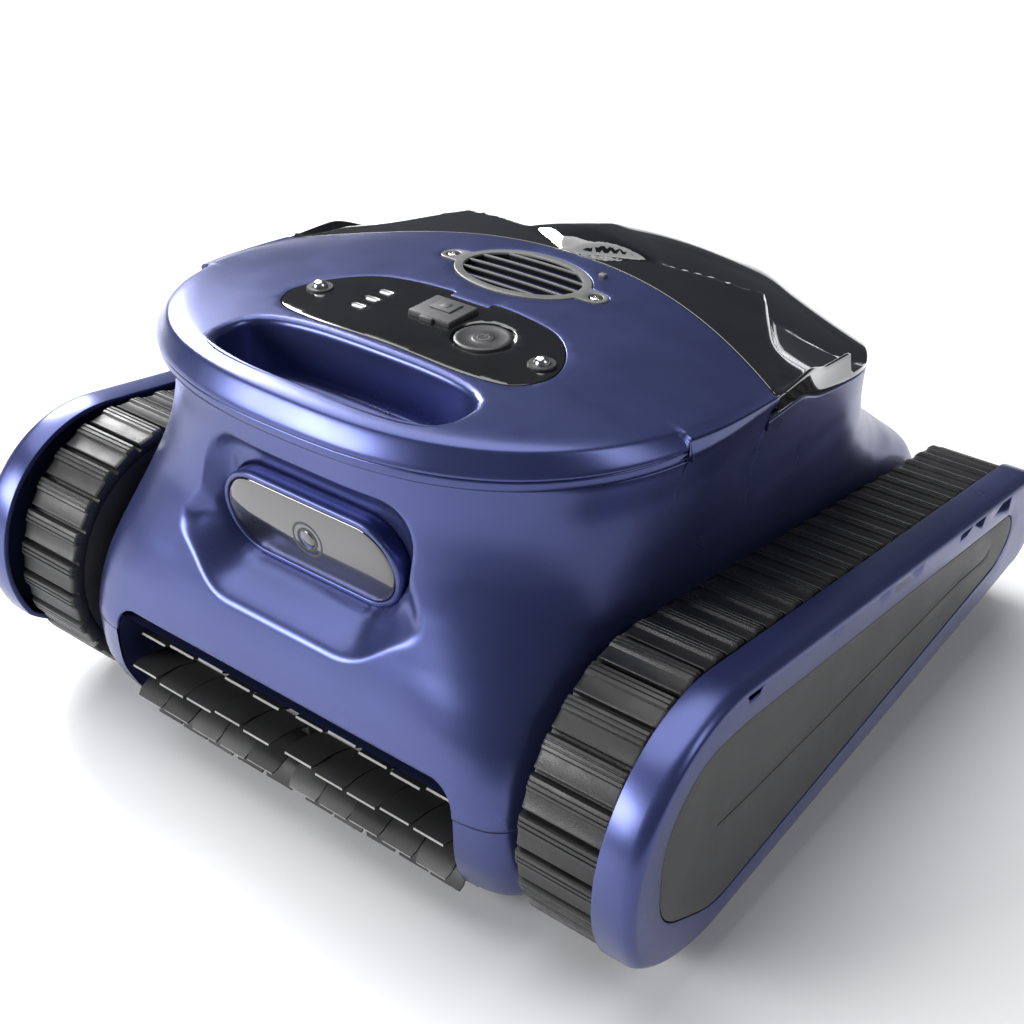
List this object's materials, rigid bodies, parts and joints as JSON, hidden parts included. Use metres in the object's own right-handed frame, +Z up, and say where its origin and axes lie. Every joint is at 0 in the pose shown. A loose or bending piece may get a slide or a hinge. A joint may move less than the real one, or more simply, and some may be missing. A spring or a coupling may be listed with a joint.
{
  "type": "robotic pool cleaner",
  "caption": "Cordless tracked pool cleaner: blue body with grip pocket, smoked filter lid, front camera and rubber brush roller.",
  "frame": {"origin": "on the floor under the middle of the robot: centre of the bounding box in X and Y, lowest face in Z", "axes": "+Z up, -Y the front with the brush and camera, +X and -X the two tracks; x = 0 is the plane of symmetry of the outer form"},
  "size_m": [0.42, 0.437, 0.2366],
  "materials": {
    "body_blue": "metallic satin coat",
    "lid_smoked": "polished",
    "gloss_black": "polished",
    "black_plastic": "fine grain",
    "wheel_black": "fine grain",
    "insert_charcoal": "fine grain",
    "button_grey": "satin",
    "port_rubber": "matt",
    "flap_rubber": "matt",
    "track_rubber": "matt",
    "brush_rubber": "matt",
    "grey_plastic": "satin",
    "light_guide": "frosted",
    "basket_white": "satin",
    "filter_mesh": "woven",
    "steel": "polished",
    "motor_steel": "brushed",
    "board_green": "lacquered",
    "cell_wrap": "shrink film"
  },
  "bodies": {
    "chassis": {"battery_pack": "cell_wrap", "brush_bracket": "grey_plastic", "button_spring": "steel", "camera_bezel": "body_blue", "camera_module": "black_plastic", "camera_window": "gloss_black", "charging_socket": "black_plastic", "control_panel": "gloss_black", "deck_cover": "body_blue", "drive_motor_left": "motor_steel", "drive_motor_right": "motor_steel", "filter_basket": "basket_white", "filter_mesh": "filter_mesh", "handle_ring": "body_blue", "intake_duct": "black_plastic", "intake_plate": "black_plastic", "led_guide_1": "light_guide", "led_guide_2": "light_guide", "led_guide_3": "light_guide", "lid_hinge_pin_left": "steel", "lid_hinge_pin_right": "steel", "lower_housing": "body_blue", "main_board": "board_green", "panel_stud_left": "steel", "panel_stud_right": "steel", "pump_housing": "black_plastic", "pump_motor": "motor_steel", "rear_axle_left": "steel", "rear_axle_right": "steel", "side_cover_left": "body_blue", "side_cover_right": "body_blue", "side_insert_left": "insert_charcoal", "side_insert_right": "insert_charcoal", "track_belt_left": "track_rubber", "track_belt_right": "track_rubber", "upper_shell": "body_blue", "vent_grille": "grey_plastic", "vent_screw_left": "steel", "vent_screw_right": "steel"},
    "drive_right": {"front_wheel_right": "wheel_black", "front_axle_right": "steel", "axle_gear": "grey_plastic"},
    "drive_left": {"front_wheel_left": "wheel_black", "front_axle_left": "steel"},
    "rear_wheel_right": {"rear_wheel_right": "wheel_black"},
    "rear_wheel_left": {"rear_wheel_left": "wheel_black"},
    "drive_pinion_right": {"drive_pinion_right": "grey_plastic"},
    "drive_pinion_left": {"drive_pinion_left": "grey_plastic"},
    "brush": {"brush_shaft": "steel", "brush_roller_right": "brush_rubber", "brush_roller_left": "brush_rubber", "brush_gear": "grey_plastic"},
    "lid": {"lid": "lid_smoked"},
    "power_button": {"power_button": "button_grey"},
    "charging_port_cover": {"charging_port_cover": "port_rubber"},
    "impeller": {"impeller": "black_plastic"},
    "intake_flap_right": {"intake_flap_right": "flap_rubber"},
    "intake_flap_left": {"intake_flap_left": "flap_rubber"}
  },
  "joints": [
    {"name": "drive_right_spin", "type": "hinge", "parent": "chassis", "child": "drive_right", "pos_m": [0.16675, -0.1385, 0.0728], "axis": [1, 0, 0], "continuous": true},
    {"name": "drive_left_spin", "type": "hinge", "parent": "chassis", "child": "drive_left", "pos_m": [-0.16675, -0.1385, 0.0728], "axis": [1, 0, 0], "continuous": true},
    {"name": "rear_wheel_right_spin", "type": "hinge", "parent": "chassis", "child": "rear_wheel_right", "pos_m": [0.16675, 0.1705, 0.048], "axis": [1, 0, 0], "continuous": true},
    {"name": "rear_wheel_left_spin", "type": "hinge", "parent": "chassis", "child": "rear_wheel_left", "pos_m": [-0.16675, 0.1705, 0.048], "axis": [1, 0, 0], "continuous": true},
    {"name": "drive_pinion_right_spin", "type": "hinge", "parent": "chassis", "child": "drive_pinion_right", "pos_m": [0.153, -0.10551, 0.06271], "axis": [1, 0, 0], "continuous": true},
    {"name": "drive_pinion_left_spin", "type": "hinge", "parent": "chassis", "child": "drive_pinion_left", "pos_m": [-0.153, -0.10551, 0.06271], "axis": [1, 0, 0], "continuous": true},
    {"name": "brush_spin", "type": "hinge", "parent": "chassis", "child": "brush", "pos_m": [0, -0.172, 0.041], "axis": [1, 0, 0], "continuous": true},
    {"name": "lid_hinge", "type": "hinge", "parent": "chassis", "child": "lid", "pos_m": [0, 0.1765, 0.147], "axis": [-1, 0, 0], "range_deg": [0, 75]},
    {"name": "power_button_press", "type": "slide", "parent": "chassis", "child": "power_button", "axis": [0, 0, -1], "range_m": [0, 0.0015], "stiffness_N_per_m": 400, "springref_m": -0.001, "deforming": ["button_spring"]},
    {"name": "charging_port_cover_hinge", "type": "hinge", "parent": "chassis", "child": "charging_port_cover", "pos_m": [0, -0.068, 0.2325], "axis": [-1, 0, 0], "range_deg": [0, 100]},
    {"name": "impeller_spin", "type": "hinge", "parent": "chassis", "child": "impeller", "pos_m": [0, -0.0185, 0.183], "axis": [0, 0, 1], "continuous": true},
    {"name": "intake_flap_right_hinge", "type": "hinge", "parent": "chassis", "child": "intake_flap_right", "pos_m": [0.048, 0.0715, 0.0218], "axis": [1, 0, 0], "range_deg": [0, 60]},
    {"name": "intake_flap_left_hinge", "type": "hinge", "parent": "chassis", "child": "intake_flap_left", "pos_m": [-0.048, 0.0715, 0.0218], "axis": [1, 0, 0], "range_deg": [0, 60]}
  ],
  "couplings": [
    {"joint": "rear_wheel_right_spin", "follows": "drive_right_spin", "ratio": 1.6408},
    {"joint": "drive_pinion_right_spin", "follows": "drive_right_spin", "ratio": 4},
    {"joint": "brush_spin", "follows": "drive_right_spin", "ratio": -1.5556},
    {"joint": "rear_wheel_left_spin", "follows": "drive_left_spin", "ratio": 1.6408},
    {"joint": "drive_pinion_left_spin", "follows": "drive_left_spin", "ratio": 4}
  ]
}
